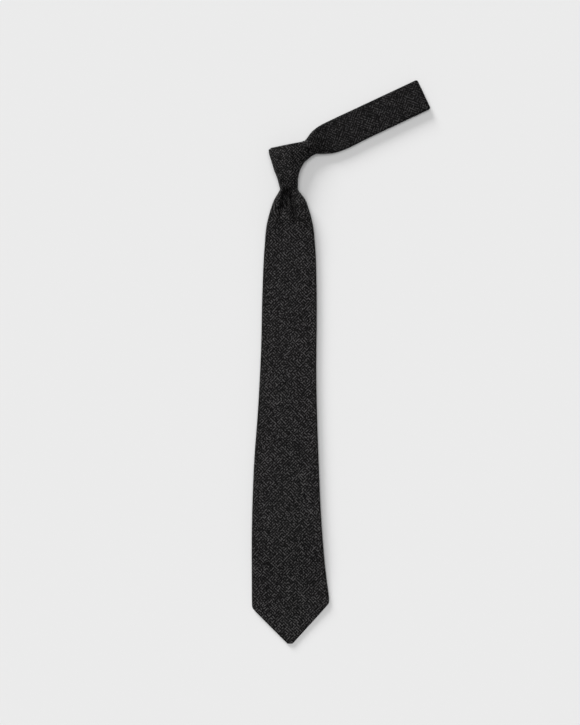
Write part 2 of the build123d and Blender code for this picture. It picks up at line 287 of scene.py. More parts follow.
def tube_points(path, radius):
    """Gives rings of points round a path of 3-D points."""
    path = np.asarray(path, float)
    along = unit(np.gradient(path, axis=0))
    up = np.tile([0.0, 0.0, 1.0], (len(path), 1))
    up[np.abs(along[:, 2]) > 0.9] = [0.0, 1.0, 0.0]
    side = unit(np.cross(along, up))
    up = np.cross(side, along)
    turn = np.linspace(0, 2 * pi, THREAD_SIDES, endpoint=False)[None, :, None]
    return path[:, None] + radius * (np.cos(turn) * side[:, None] + np.sin(turn) * up[:, None])


def threads(name, paths, radius):
    """Makes one piece from many short lengths of thread."""
    points = []
    faces = []
    spots = []
    around = range(THREAD_SIDES)
    for path in paths:
        rings = tube_points(path, radius)
        first = len(points)
        last = first + (len(rings) - 1) * THREAD_SIDES
        points += list(rings.reshape(-1, 3))
        for i in range(len(rings)):
            spots += [(2 * pi * radius * j / THREAD_SIDES, i * radius) for j in around]
        for ring in range(first, last, THREAD_SIDES):
            for j in around:
                a = ring + j
                b = ring + (j + 1) % THREAD_SIDES
                faces.append((a, b, b + THREAD_SIDES, a + THREAD_SIDES))
        faces.append([first + j for j in reversed(around)])
        faces.append([last + j for j in around])
    return make_mesh(name, points, faces, spots)


# --- folded envelopes

SEAM_GAP = 0.7  # half the distance between the rounded edges of the back seam
CURL = 0.65  # radius of the seam edges, where the silk turns in


def envelope_row(left, right, back, thick, flap_left, flap_right, face):
    """Gives one section of a folded envelope, as X and Z from its back seam round to it.

    left and right are its edges, back its lowest height. flap_left and flap_right are the
    edges of its back flaps, which curl in. face adds to the height of its front at each X.
    """
    roll = min(thick / 2, (right - left) * 0.49)
    curl = min(CURL, thick / 5, (right - left) / 10)
    left = left + roll
    right = right - roll
    flap_left = max(flap_left, left + curl)
    flap_right = min(flap_right, right - curl)
    half_turn = np.linspace(0, pi, ROUND_STEPS)
    ramp = np.linspace(0, 1, FLAP_STEPS + 2)[1:-1]
    across, up = np.sin(half_turn), np.cos(half_turn)
    t = np.linspace(-1, 1, 74)[1:-1]
    t = 0.75 * t + 0.25 * np.sin(t * pi / 2)
    curl_z = back + curl * (1 + up)
    roll_z = back + thick / 2 * (1 - up)
    flat = np.full(FLAP_STEPS, back)
    x = np.concatenate([
        flap_left + curl * across, flap_left + ramp * (left - flap_left), left - roll * across,
        (left + right) / 2 + t * (right - left) / 2,
        right + roll * across, right + ramp * (flap_right - right), flap_right - curl * across,
    ])
    z = np.concatenate([curl_z, flat, roll_z, np.full(len(t), back + thick),
                        roll_z[::-1], flat, curl_z[::-1]])
    away = np.zeros(ROUND_STEPS + FLAP_STEPS)
    sides = ease(np.linspace(0, 1, ROUND_STEPS), 0.45, 1)
    on_front = np.concatenate([away, sides, np.ones(len(t)), sides[::-1], away])
    return x, z + on_front * face(x)


def padding_row(left, right, low_z, high_z):
    """Gives one section of a flat padding, as X and Z in a closed ring."""
    half = (high_z - low_z) / 2
    turn = np.linspace(0, pi, 7)[1:-1]
    across = np.linspace(left + half, right - half, 24)
    x = np.concatenate([across[::-1], left + half - half * np.sin(turn), across,
                        right - half + half * np.sin(turn)])
    z = np.concatenate([np.full(24, low_z), low_z + half * (1 - np.cos(turn)),
                        np.full(24, high_z), low_z + half * (1 + np.cos(turn))])
    return x, z


def smooth_least(a, b):
    """Is the lesser of two numbers, with the change from one to the other rounded."""
    return (a + b - sqrt((a - b) ** 2 + 3.0)) / 2


class Blade:
    """Is a blade's shape: its edges, back, depth and folds at places along it."""

    def __init__(self, left, right, back, depth, face):
        self.curves = left, right, back, depth
        self.face = face

    def cut_to(self, tip, tack, corner, hem, blunt, right_slope):
        """Sets where the tip, the bar tack and the point's corners are, and the hem's width."""
        self.tip = tip
        self.tack = tack
        self.corner = corner
        self.hem = hem
        self.blunt = blunt
        self.right_slope = right_slope

    def edges(self, y):
        """Gives the edges, which narrow to the point with rounded corners."""
        left, right = (curve(points, y)[0] for points in self.curves[:2])
        left_reach = y - self.tip + self.blunt
        right_reach = (y - self.tip) * self.right_slope + self.blunt
        return -smooth_least(-left, left_reach), smooth_least(right, right_reach)

    def back(self, y):
        return curve(self.curves[2], y)[0]

    def depth(self, y):
        """Gives the thickness, which is greater where the cloth is gathered."""
        round_end = sqrt(1 - float(np.clip((self.tip + 1.5 - y) / 1.6, 0, 1)) ** 2)
        return curve(self.curves[3], y)[0] * max(round_end, 0.3)

    def flaps(self, y):
        """Gives the flap edges: closed along the seam, then parting round the tipping."""
        left, right = self.edges(y)
        part = SEAM_GAP + max(0.0, self.tack - y)
        return (max(-part, min(left + self.hem, -SEAM_GAP)),
                min(part, max(right - self.hem, SEAM_GAP)))

    def grid(self, places):
        """Makes the outer surface over places along the blade."""
        rows = []
        for y in places:
            shape = *self.edges(y), self.back(y), self.depth(y), *self.flaps(y)
            x, z = envelope_row(*shape, self.face(y))
            rows.append(section(x, y, z))
        return np.array(rows)

    def places(self, grid, start):
        """Gives the cloth places. Below the corner the hem is turned over the slant.

        A hem that is folded over a slanted edge shows the cloth mirrored in that edge.
        """
        places = cloth_places(grid, start)
        flap = ROUND_STEPS + FLAP_STEPS
        middle = flap + ROUND_STEPS // 2
        for row, place in zip(grid, places):
            y = row[0, 1]
            turned = float(ease(self.corner - y, 0, 1.5))
            left, right = self.edges(y)
            for columns, edge, at_edge in (
                (slice(0, flap), left, place[middle, 0]),
                (slice(-flap, None), right, place[-middle - 1, 0]),
            ):
                place[columns, 0] += turned * (at_edge - place[columns, 0])
                place[columns, 1] -= turned * np.abs(row[columns, 0] - edge)
        return places

    def wool(self, places, under, over, least, inset):
        """Makes the wool's outside, with gaps under and over it and at its edges."""
        rows = []
        for y in places:
            left, right = self.edges(y)
            back = self.back(y)
            top = back + max(self.depth(y) - over, least)
            x, z = padding_row(left + inset, right - inset, back + under, top)
            rows.append(section(x, y, z))
        return np.array(rows)


# --- front blade's shape

LEFT_EDGE = [
    (-8, -8.6), (MOUTH_Y, -10.2), (-35, -17.0), (-46, -21.0), (-61, -24.8), (-84, -27.1),
    (-130, -29.4), (-196, -31.0), (-255, -34.0), (-318, -38.5), (-382, -40.7),
    (-440, -40.9), (TIP_Y, -40.6),
]
RIGHT_EDGE = [
    (-8, 6.6), (MOUTH_Y, 8.0), (-35, 16.6), (-46, 20.6), (-61, 24.4), (-84, 26.9),
    (-130, 28.4), (-230, 28.2), (-318, 30.8), (-382, 33.9), (-440, 39.2), (-459, 41.7),
    (TIP_Y, 43.5),
]
BLADE_BACK = [
    (-8, 7.9), (MOUTH_Y, 7.7), (-45, 6.4), (-80, BLADE_BACK_Z), (-150, BLADE_BACK_Z),
    (FOLD_Y + 60, BLADE_BACK_Z), (FOLD_Y, 4.6), (-450, 1.2), (-470, 0.7), (TIP_Y, 0.6),
]
BLADE_DEPTH = [
    (-8, 7.2), (MOUTH_Y, 7.0), (-36, 7.3), (-48, 6.6), (-66, 5.2), (-92, 4.2), (-300, 4.0),
    (-470, 3.6), (TIP_Y, 2.6),
]


def blade_face(y):
    """Gives the front's rise and folds at a place along the blade, as a function of X."""
    left, right = front.edges(y)
    middle = (left + right) / 2
    half = (right - left) / 2
    near = float(1 - ease(-y, 40, 75))
    # The dimple: two creases that run down from the mouth and part, a short one between.
    left_crease = curve([(-8, -3.6), (MOUTH_Y, -4.4), (-34, -6.8), (-48, -9.6)], y)[0]
    right_crease = curve([(-8, -1.0), (MOUTH_Y, -1.0), (-34, 1.0), (-54, 5.4)], y)[0]
    left_deep = 6.4 * float(1 - ease(-y, 41, 55))
    right_deep = 6.4 * float(1 - ease(-y, 48, 66))
    between = 6.4 * float(1 - ease(-y, 38, 48))
    trough = 0.8 * float(ease(-y, 44, 60) * (1 - ease(-y, 70, 125)))
    swell = 0.8 + 1.6 * float(ease(-y, 23, 32))
    settled = float(ease(-y, 60, 120))
    deepest = front.depth(y) - 0.75

    def rise(x):
        t = np.clip((x - middle) / half, -1, 1)
        crown = (0.5 + 0.6 * near) * (1 - t**2)
        dimple = np.maximum(left_deep * crease(x, left_crease, 2.2),
                            right_deep * crease(x, right_crease, 2.2))
        middle_crease = (left_crease + right_crease) / 2
        dimple = np.maximum(dimple, between * crease(x, middle_crease, 2.2))
        lobes = swell * near * (bump(t, 0.6, 0.36) + 0.7 * bump(t, -0.72, 0.25))
        trail = trough * (bump(x, 9.5, 4.5) + 0.8 * bump(x, -12.0, 4.0))
        drift = 0.22 * np.sin(x / 9 + 1.4 * np.sin(y / 37)) * np.sin(y / 29 + 0.8)
        drift = drift + 0.16 * np.sin(x / 5.3 - y / 41 + 2)
        total = crown - dimple + lobes - trail + drift * settled * (1 - t**4)
        return np.maximum(total, -deepest)

    return rise


front = Blade(LEFT_EDGE, RIGHT_EDGE, BLADE_BACK, BLADE_DEPTH, blade_face)
front.cut_to(TIP_Y, TACK_Y, corner=-466, hem=9.5, blunt=2.6, right_slope=0.91)


# --- tail's shape

TAIL_HALF = [
    (-8, 7.6), (MOUTH_Y, 8.6), (-36, 10.4), (-80, 13.5), (-200, 16.6), (-352, 20.0),
    (TAIL_TIP_Y, 20.4),
]
TAIL_BACK = [(-8, 4.2), (MOUTH_Y, 4.0), (-40, 1.1), (-80, TAIL_BACK_Z), (TAIL_TIP_Y, TAIL_BACK_Z)]
TAIL_DEPTH = [(-8, 3.4), (MOUTH_Y, 3.6), (-40, 3.3), (-80, TAIL_THICK), (TAIL_TIP_Y, 2.6)]


def tail_face(y):
    """Gives the tail's gentle crown."""
    left, right = tail.edges(y)

    def rise(x):
        t = np.clip(2 * (x - left) / (right - left) - 1, -1, 1)
        folds = 0.35 * (1 - ease(-y, 40, 90)) * np.cos(x * 1.1)
        return 0.25 * (1 - t**2) + folds * (1 - t**2)

    return rise


tail_left = [(y, -half) for y, half in TAIL_HALF]
tail = Blade(tail_left, TAIL_HALF, TAIL_BACK, TAIL_DEPTH, tail_face)
tail.cut_to(TAIL_TIP_Y, TAIL_TACK_Y, corner=-352, hem=7.5, blunt=1.5, right_slope=1.0)


# --- materials


class Maths:
    """Writes a material's nodes as short sums: m.add(a, b), m.times(a, b), and so on."""

    def __init__(self, material):
        self.material = material
        self.tree = material.node_tree
        self.surface = self.tree.nodes["Principled BSDF"].inputs

    def put(self, socket, value):
        """Sets a socket to a number, or links another socket to it."""
        if isinstance(value, bpy.types.NodeSocket):
            self.tree.links.new(value, socket)
        else:
            socket.default_value = value

    def node(self, kind, *values, **named):
        """Adds a node, with values for its first sockets or for named ones."""
        node = self.tree.nodes.new("ShaderNode" + kind)
        for socket, value in zip(node.inputs, values):
            self.put(socket, value)
        for name, value in named.items():
            self.put(node.inputs[name], value)
        return node

    def maths(self, operation, *values):
        node = self.node("Math", *values)
        node.operation = operation
        return node.outputs[0]

    def add(self, a, b):
        return self.maths("ADD", a, b)

    def less(self, a, b):
        return self.maths("SUBTRACT", a, b)

    def times(self, a, b):
        return self.maths("MULTIPLY", a, b)

    def floor(self, a):
        return self.maths("FLOOR", a)

    def wave(self, a, period):
        """Is a cosine of a, from 0 to 1, once in each period."""
        turned = self.times(a, 2 * pi / period)
        return self.add(self.times(self.maths("COSINE", turned), 0.5), 0.5)

    def mix(self, factor, low_value, high_value):
        return self.add(low_value, self.times(factor, self.less(high_value, low_value)))

    def vector(self, x, y):
        return self.node("CombineXYZ", x, y, 0.0).outputs[0]

    def noise(self, place, scale, detail=2.0):
        node = self.node("TexNoise", Scale=scale, Detail=detail, Vector=place)
        return node.outputs["Fac"]

    def speck(self, place):
        """Is a number from 0 to 1 by chance, the same at the same place."""
        node = self.tree.nodes.new("ShaderNodeTexWhiteNoise")
        node.noise_dimensions = "2D"
        self.put(node.inputs["Vector"], place)
        return node.outputs["Value"]

    def colour(self, factor, stops):
        """Turns a number into a colour through (place, colour) stops."""
        node = self.node("ValToRGB", factor)
        ramp = node.color_ramp
        while len(ramp.elements) < len(stops):
            ramp.elements.new(0.5)
        for element, (place, value) in zip(ramp.elements, stops):
            element.position = place
            element.color = (*value, 1)
        return node.outputs["Color"]

    def cloth(self):
        """Gives the place on the flat cloth in millimetres, as two sockets."""
        node = self.node("UVMap")
        node.uv_map = "Cloth"
        split = self.node("SeparateXYZ", node.outputs[0])
        return self.times(split.outputs[0], 1 / MM), self.times(split.outputs[1], 1 / MM)

    def paint(self, factor, stops):
        self.put(self.surface["Base Color"], self.colour(factor, stops))

    def roughen(self, value):
        self.put(self.surface["Roughness"], value)

    def relief(self, height, depth):
        """Gives the surface a relief whose height, from 0 to 1, is depth millimetres."""
        node = self.node("Bump", Strength=1.0, Distance=depth * MM, Height=height)
        self.put(self.surface["Normal"], node.outputs[0])


def shader(name, base, rough, **sockets):
    """Makes a material and gives its node maths."""
    material = bpy.data.materials.new(name)
    material.use_nodes = True
    m = Maths(material)
    m.put(m.surface["Base Color"], (*base, 1))
    m.roughen(rough)
    for socket, value in sockets.items():
        m.put(m.surface[socket.replace("_", " ")], value)
    return m


RIB = 3.45  # mm from one raised diagonal to the next
STROKE = 2.4  # mm from one yarn to the next
FLOAT = 1.25  # mm, one float of a yarn
PATCH = 2.0  # mm, a patch whose floats all run one way


def silk_material(name, painted_shade_scale):
    """Makes black silk: yarns on both bias ways, in floats lighter or darker by chance."""
    m = shader(name, (0.012, 0.0115, 0.012), 0.6, Specular_IOR_Level=0.07,
               Sheen_Weight=0.01, Sheen_Roughness=0.4)
    u, v = m.cloth()
    wander = m.times(m.less(m.noise(m.vector(u, v), 0.09), 0.5), 1.6)
    p = m.add(m.times(m.less(u, v), sqrt(0.5)), wander)
    q = m.add(m.times(m.add(u, v), sqrt(0.5)), wander)
    row = m.floor(m.times(p, 1 / FLOAT))
    shifted = m.add(q, m.times(row, FLOAT * 0.5))
    column = m.floor(m.times(shifted, 1 / FLOAT))
    chance = m.speck(m.vector(row, column))
    patch = m.speck(m.vector(m.floor(m.times(u, 1 / PATCH)), m.floor(m.times(v, 1 / PATCH))))
    way = m.maths("GREATER_THAN", patch, 0.5)
    stroke = m.mix(way, m.wave(p, STROKE), m.wave(q, STROKE * 1.04))
    rib = m.wave(p, RIB)
    fuzz = m.noise(m.vector(u, v), 2.2, 3.0)
    swing = m.times(m.less(stroke, 0.5), m.mix(chance, 0.3, 0.8))
    tone = m.add(m.add(swing, m.times(chance, 0.34)), 0.195)
    tone = m.add(tone, m.add(m.times(rib, 0.06), m.times(fuzz, 0.2)))
    stops = [(0.24, 0.0006), (0.5, 0.0056), (0.7, 0.027), (0.92, 0.078)]
    # A scale below 1 darkens the whole silk: painted shade on the knot's and the neck's copies of
    # it.
    stops = [(place, painted_shade_scale * value) for place, value in stops]
    m.paint(tone, [(place, (v, 0.955 * v, 0.965 * v)) for place, v in stops])
    m.roughen(m.mix(chance, 0.66, 0.46))
    height = m.add(m.times(stroke, 0.5), m.add(m.times(rib, 0.2), m.times(fuzz, 0.3)))
    m.relief(height, 0.24)
    return m.material


def satin_material(name, base, rough=0.35):
    """Makes a smooth satin with fine cross threads."""
    m = shader(name, base, rough, Specular_IOR_Level=0.4, Sheen_Weight=0.1)
    u, v = m.cloth()
    warp = m.wave(u, 0.32)
    weft = m.wave(m.add(v, m.times(m.floor(m.times(u, 1 / 0.32)), 0.4)), 1.6)
    slub = m.noise(m.vector(m.times(u, 3.0), m.times(v, 0.4)), 1.0, 2.0)
    height = m.add(m.times(warp, 0.5), m.add(m.times(weft, 0.3), m.times(slub, 0.4)))
    dark = [0.72 * c for c in base]
    light = [1.25 * c for c in base]
    m.paint(height, [(0.1, dark), (1.0, light)])
    m.roughen(m.mix(slub, rough - 0.06, rough + 0.12))
    m.relief(height, 0.08)
    return m.material


def thread_material(name, base):
    """Makes a twisted sewing thread."""
    m = shader(name, base, 0.45, Specular_IOR_Level=0.45, Sheen_Weight=0.1)
    u, v = m.cloth()
    twist = m.wave(m.add(u, v), 0.34)
    dark = [0.55 * c for c in base]
    light = [1.6 * c for c in base]
    m.paint(twist, [(0.0, dark), (1.0, light)])
    m.relief(twist, 0.06)
    return m.material


def felt_material():
    """Makes brushed wool interlining."""
    m = shader("wool_interlining", (0.6, 0.56, 0.48), 0.95, Sheen_Weight=0.3)
    u, v = m.cloth()
    fuzz = m.noise(m.vector(u, v), 2.2, 4.0)
    weave = m.times(m.wave(u, 1.1), m.wave(v, 1.1))
    height = m.add(m.times(weave, 0.5), m.times(fuzz, 0.7))
    m.paint(height, [(0.1, (0.42, 0.38, 0.31)), (1.0, (0.7, 0.66, 0.57))])
    m.relief(height, 0.2)
    return m.material


silk = silk_material("black_silk", 1.0)
# The knot's silk is the same silk with a little painted shade: its whole colour is scaled down to
# 0.98.
knot_silk_painted_darker = silk_material("black_silk_painted_darker_on_the_knot", 0.98)
# The neck's silk is the same silk with painted shade: its whole colour is scaled down to 0.6.
neck_silk_painted_darker = silk_material("black_silk_painted_darker_on_the_neck", 0.6)
lining = satin_material("black_lining", (0.016, 0.016, 0.017))
brand_cloth = satin_material("blank_label_satin", (0.06, 0.06, 0.066), 0.4)
care_cloth = satin_material("blank_care_tape", (0.68, 0.68, 0.66), 0.55)
thread = thread_material("black_thread", (0.02, 0.02, 0.021))
pale_thread = thread_material("grey_thread", (0.12, 0.12, 0.125))
felt = felt_material()


def dress(piece, material):
    """Gives a piece its material."""
    piece.data.materials.clear()
    piece.data.materials.append(material)


def settle(piece, where, *nodes):
    """Puts a piece on a body or over a bend, in place of its CAD nodes."""
    if isinstance(where, str):
        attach(piece, where)
    else:
        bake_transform(piece)
    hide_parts(*nodes)


# --- camera, light and floor

VIEW_TALL = 0.77575  # metres of the scene from the top to the foot of the view
VIEW_MIDDLE = (0.0, -0.2081)
CAMERA_HIGH = 2.6


def make_camera():
    """Looks straight down at the tie through a long lens."""
    data = bpy.data.cameras.new("camera")
    camera = add_object("camera", data)
    camera.location = (*VIEW_MIDDLE, CAMERA_HIGH)
    data.lens = data.sensor_width * CAMERA_HIGH / VIEW_TALL
    data.clip_end = 20
    bpy.context.scene.camera = camera


def make_sun(name, strength, spread, lean, turn):
    """Makes a far, broad light: spread is its breadth, lean its angle from overhead."""
    data = bpy.data.lights.new(name, "SUN")
    data.energy = strength
    data.angle = radians(spread)
    light = add_object(name, data)
    light.rotation_euler = (radians(-lean), 0, radians(turn))


def make_light():
    """Lights the tie softly from overhead and from the upper left."""
    bpy.context.scene.view_settings.view_transform = "Standard"
    world = bpy.data.worlds.new("fill")
    bpy.context.scene.world = world
    world.use_nodes = True
    background = world.node_tree.nodes["Background"]
    background.inputs["Color"].default_value = (1, 1, 1, 1)
    background.inputs["Strength"].default_value = 0.17
    make_sun("overhead", 1.52, 36, 4, 30)
    make_sun("window", 2.3, 26, 64.5, 30)


def make_floor():
    """Lays a plain pale floor."""
    mesh = bpy.data.meshes.new("floor")
    side = 6.0
    corners = [(-side, -side, 0), (side, -side, 0), (side, side, 0), (-side, side, 0)]
    mesh.from_pydata(corners, [], [(0, 1, 2, 3)])
    floor = add_object("floor", mesh)
    floor.location.z = -0.0002
    m = shader("floor", (0.86, 0.86, 0.86), 0.9, Specular_IOR_Level=0.0)
    mesh.materials.append(m.material)


make_camera()
make_light()
make_floor()


# --- dressing


def extent(grid, axis):
    """Gives a surface's greatest length down it (axis 0) or across it (axis 1)."""
    return float(arc_lengths(grid, axis).max())


def cloth_piece(piece, material, width, length):
    """Its area is half of its closed surface, and no more than that size.
    """
    dress(piece, material)
    area = sum(face.area for face in piece.data.polygons) / 2
    area = min(area, width * length * MM * MM)


def cut_cloth(piece, material, grid):
    """Gives a piece of cloth its material, and works out the size of its surface, measured along
    the cloth.
    """
    cloth_piece(piece, material, extent(grid, 1), extent(grid, 0))


def lay_silk(name, grid, where, node, rests_on=(), **shape):
    """Makes one length of the blades' silk and puts it in its place."""
    piece = thin_sheet(name, grid, **shape)
    cut_cloth(piece, silk, grid)
    settle(piece, where, node)


def pad(name, rings, where, *nodes):
    """Makes one length of wool interlining and puts it in its place."""
    piece = filling(name, rings)
    dress(piece, felt)
    settle(piece, where, *nodes)


# --- front blade


def make_front_silk():
    """Makes the front blade's silk in two lengths, which meet edge to edge."""
    upper = front.grid(spaced((-16, 0.9), (-66, 1.6), (-110, 3.2), (BLADE_CUT_Y, 0)))
    lay_silk("front_silk_upper", upper, MOUTH_BEND, "front_blade_shell", start=-16)
    stops = ((BLADE_CUT_Y, 3.2), (FOLD_Y + 10, 1.6), (-452, 1.0), (TIP_Y + 3, 0.3), (TIP_Y, 0))
    lower = front.grid(spaced(*stops))
    lay_silk("front_silk_lower", lower, TIP_BEND, "front_tip_shell", ["front_silk_upper"],
             places=front.places(lower, BLADE_CUT_Y))


def make_front_filling():
    """Makes the front blade's wool interlining in two lengths."""
    gaps = {"under": 1.5, "over": 1.5, "least": 1.8, "inset": 1.6}
    upper = front.wool(spaced((-84, 4), (BLADE_CUT_Y, 0)), **gaps)
    pad("front_wool_upper", upper, MOUTH_BEND, "front_blade_interlining")
    lower = front.wool(spaced((BLADE_CUT_Y, 4), (-440, 2), (TIP_Y + 5, 0)), **gaps)
    pad("front_wool_lower", lower, TIP_BEND, "front_tip_interlining")


def tipping_grid(blade, inset):
    """Makes the visible surface of a tipping, facing down, just inside its opening."""
    rows = []
    for y in spaced((blade.tack + 7, 1.5), (blade.tip + 5, 0)):
        left, right = blade.edges(y)
        half = max(0.4, min(blade.tack + 7 - y + 1.0, min(-left, right) - inset))
        x = np.linspace(half, -half, 25)
        sag = 0.25 * np.cos(x / max(half, 1) * pi / 2) * ease(blade.tack - y, -5, 10)
        rows.append(section(x, y, blade.back(y) + 1.15 - sag))
    return np.array(rows)


def make_tippings():
    """Makes the satin linings in the backs of both tips."""
    for name, blade, inset, under, where, node in (
        ("front_tip_satin", front, 3.0, "front_silk_lower", TIP_BEND, "front_tipping"),
        ("tail_tip_satin", tail, 2.5, "tail_silk", "tail_blade", "tail_tipping"),
    ):
        grid = tipping_grid(blade, inset)
        piece = thin_sheet(name, grid, wall=0.25)
        cut_cloth(piece, lining, grid)
        settle(piece, where, node)


# --- sewing


def stitches(shape, spots):
    """Gives a stitch's path at each spot: X, Y, Z, and 1 or -1 for its mirror image."""
    return [np.array(shape) * (side, 1, 1) + (x, y, z) for x, y, z, side in spots]


def slip_stitches(blade, top, end):
    """Gives paths of the short slanted stitches that close a back seam."""
    shape = [(-1.5, 1.2, 0.1), (-1, 0.8, -0.14), (0, 0, -0.2), (1, -0.8, -0.14), (1.5, -1.2, 0.1)]
    return stitches(shape, [(0, y, blade.back(y), 1) for y in np.arange(top, end, -7.0)])


def bar_stitches(blade, half):
    """Gives paths of the close stitches of a bar tack across a seam's end."""
    shape = [(-half, 0, 0.15), (0.4 - half, 0, -0.2), (0, 0.06, -0.3), (half - 0.4, 0, -0.2),
             (half, 0, 0.15)]
    y = blade.tack + 1.2
    return stitches(shape, [(0, y + i * 0.27, blade.back(y), 1) for i in range(-4, 5)])


def hem_stitches(blade):
    """Gives paths of the small stitches that hold a tipping to its hem."""
    spots = []
    for y in np.arange(blade.tack - 5, blade.tip + blade.hem + 1.5, -4.5):
        for x, side in zip(blade.flaps(y), (-1, 1)):
            if abs(x) >= 2:
                spots.append((x, y, blade.back(y), side))
    shape = [(0.9, 0, 0.1), (0.3, -0.3, -0.1), (-0.7, -0.7, 0.35), (-1.2, -0.9, 0.9)]
    return stitches(shape, spots)


def sew(name, paths, where, node, radius=0.16, material=thread):
    """Makes one piece from stitches and puts it in its place."""
    piece = threads(name, paths, radius)
    dress(piece, material)
    settle(piece, where, node)


def make_sewing():
    """Makes the seams' slip stitches, the bar tacks and the hems' stitches."""
    paths = slip_stitches(front, high("front_seam_thread")[1], FOLD_Y + 4)
    sew("front_slip_stitches", paths, "front_blade", "front_seam_thread")
    paths = slip_stitches(front, FOLD_Y - 2, TACK_Y + 4) + hem_stitches(front)
    sew("tip_stitches", paths, TIP_BEND, "tip_seam_thread")
    sew("front_tack", bar_stitches(front, 3.6), "front_tip", "front_bar_tack", 0.18)
    paths = slip_stitches(tail, high("tail_seam_thread")[1], TAIL_TACK_Y + 4)
    sew("tail_stitches", paths + hem_stitches(tail), TAIL_BEND, "tail_seam_thread")
    sew("tail_tack", bar_stitches(tail, 3.0), "tail_blade", "tail_bar_tack", 0.18)


# --- tail


def make_tail():
    """Makes the tail's silk in two lengths, and its wool interlining."""
    root = tail.grid(spaced((-14, 1.2), (TAIL_CUT_Y, 0)))
    lay_silk("tail_silk_root", root, ROOT_BEND, "tail_throat", start=-14)
    stops = ((TAIL_CUT_Y, 3), (-320, 1.2), (TAIL_TIP_Y + 3, 0.3), (TAIL_TIP_Y, 0))
    grid = tail.grid(spaced(*stops))
    lay_silk("tail_silk", grid, TAIL_BEND, "tail_shell", ["tail_silk_root"],
             places=tail.places(grid, TAIL_CUT_Y))
    places = spaced((-66, 4), (TAIL_TIP_Y + 5, 0))
    rings = tail.wool(places, under=1.45, over=0.8, least=1.75, inset=1.4)
    pad("tail_wool", rings, TAIL_BEND, "tail_interlining")


# --- keeper loop and labels


def round_sheet(name, grid, wall, places=None):
    """Makes a closed sheet whose first and last rows are rounded edges."""
    normals = grid_normals(grid)
    inner = grid - wall * normals
    along = unit(np.gradient(grid, axis=0))
    turn = np.linspace(0, pi, 7)[1:-1]

    def edge(row, half):
        centre = (grid[row] + inner[row]) / 2
        return [centre + half * (cos(a) * normals[row] + sin(a) * along[row]) for a in turn]

    rows = [*grid, *edge(-1, wall / 2), *inner[::-1], *edge(0, -wall / 2), grid[0]]
    loop = np.array(rows)
    if places is None:
        places = cloth_places(grid)
    places = np.concatenate([places, np.repeat(places[-1:], len(turn), axis=0), places[::-1],
                             np.repeat(places[:1], len(turn) + 1, axis=0)])
    count, columns = loop.shape[:2]
    numbers = np.arange(count * columns).reshape(count, columns)
    quads = grid_quads(numbers)
    quads.append(numbers[:-1, 0].tolist())
    quads.append(numbers[-2::-1, -1].tolist())
    return weld(make_mesh(name, loop.reshape(-1, 3), quads, places.reshape(-1, 2)))


def path_points(corners, radius):
    """Rounds the corners of a path of 2-D points, and divides it evenly."""
    step = 0.8
    corners = [np.array(c, float) for c in corners]
    points = [corners[0]]
    for before, corner, after in zip(corners, corners[1:], corners[2:]):
        back = unit(before - corner)
        forth = unit(after - corner)
        for t in np.linspace(0, 1, 7):
            points.append(corner + radius * ((1 - t) ** 2 * back + t**2 * forth))
    points.append(corners[-1])
    points = np.array(points)
    lengths = arc_lengths(points[:, None], 0)[:, 0]
    places = np.linspace(0, lengths[-1], max(2, round(lengths[-1] / step)))
    return np.column_stack([np.interp(places, lengths, points[:, i]) for i in range(2)])


def make_keeper():
    """Makes the loop of silk on the front blade's back that holds the tail."""
    box_low, box_high = low("keeper_loop"), high("keeper_loop")
    top = BLADE_BACK_Z
    side = box_high[0] - 5.0
    corners = [(box_high[0], top - 0.1), (side + 1.5, top - 0.15), (side, top - 2.4),
               (side - 3, box_low[2] + 0.35), (0, box_low[2] + 0.3),
               (-side + 3, box_low[2] + 0.35), (-side, top - 2.4), (-side - 1.5, top - 0.15),
               (box_low[0], top - 0.1)]
    line = path_points(corners, 1.4)
    rows = []
    for y in np.linspace(box_high[1] - 0.4, box_low[1] + 0.4, 13):
        puff = 0.15 * (1 - ((y - (box_low[1] + box_high[1]) / 2) / 6) ** 2)
        z = line[:, 1] - puff * (line[:, 1] < 1.5)
        rows.append(section(line[:, 0], y, z))
    grid = np.array(rows)
    piece = round_sheet("keeper_silk", grid, 0.7)
    cloth_piece(piece, silk, extent(grid, 0), extent(grid, 1))
    settle(piece, "front_blade", "keeper_loop")
    spots = []
    for side in (-1, 1):
        for i in range(6):
            y = box_low[1] + 1.5 + i * (box_high[1] - box_low[1] - 3) / 5
            spots.append((side * (box_high[0] - 0.9), y, top, side))
    shape = [(0.7, 0, 0.1), (0.4, 0, -0.5), (-0.5, 0.2, -0.95), (-1.4, 0.3, -0.7)]
    sew("keeper_tacks", stitches(shape, spots), "front_blade", "keeper_stitches", 0.17)


def label_grid(node, rows, columns, height):
    """Makes a label's outer surface in its CAD box; height adds to it at each X and Y."""
    box_low, box_high = low(node), high(node)
    x = np.linspace(box_high[0], box_low[0], columns)
    return np.array([section(x, y, box_low[2] + height(x, y))
                     for y in np.linspace(box_high[1], box_low[1], rows)])


def make_labels():
    """Makes the two blank labels, with the stitches of the larger one."""
    grid = label_grid("brand_label", 15, 29, lambda x, y: 0.05 * np.cos(x / 3.1) * np.sin(y / 2.3))
    piece = round_sheet("blank_label", grid, 0.3)
    cloth_piece(piece, brand_cloth, 42, 20)
    settle(piece, "front_blade", "brand_label")
    box_low, box_high = low("brand_label"), high("brand_label")
    spots = []
    for x in (box_low[0], box_high[0]):
        for i in range(12):
            spots.append((x, box_low[1] + 0.9 + i * 1.65, box_low[2] - 0.05, -np.sign(x)))
    shape = [(-0.5, 0, 0.4), (0.1, 0, -0.1), (1.3, 0.1, -0.1), (1.8, 0.1, 0.25)]
    sew("label_tacks", stitches(shape, spots), "front_blade", "label_stitches", 0.13, pale_thread)
    top = high("care_label")[1]

    def hang(x, y):
        return 0.05 - 0.3 * ease(top - y, 2, 24) + 0.12 * np.cos(x / 4.0 + y / 7)

    piece = round_sheet("blank_care_label", label_grid("care_label", 17, 13, hang), 0.25)
    cloth_piece(piece, care_cloth, 14, 24)
    settle(piece, "tail_blade", "care_label")


# --- neck


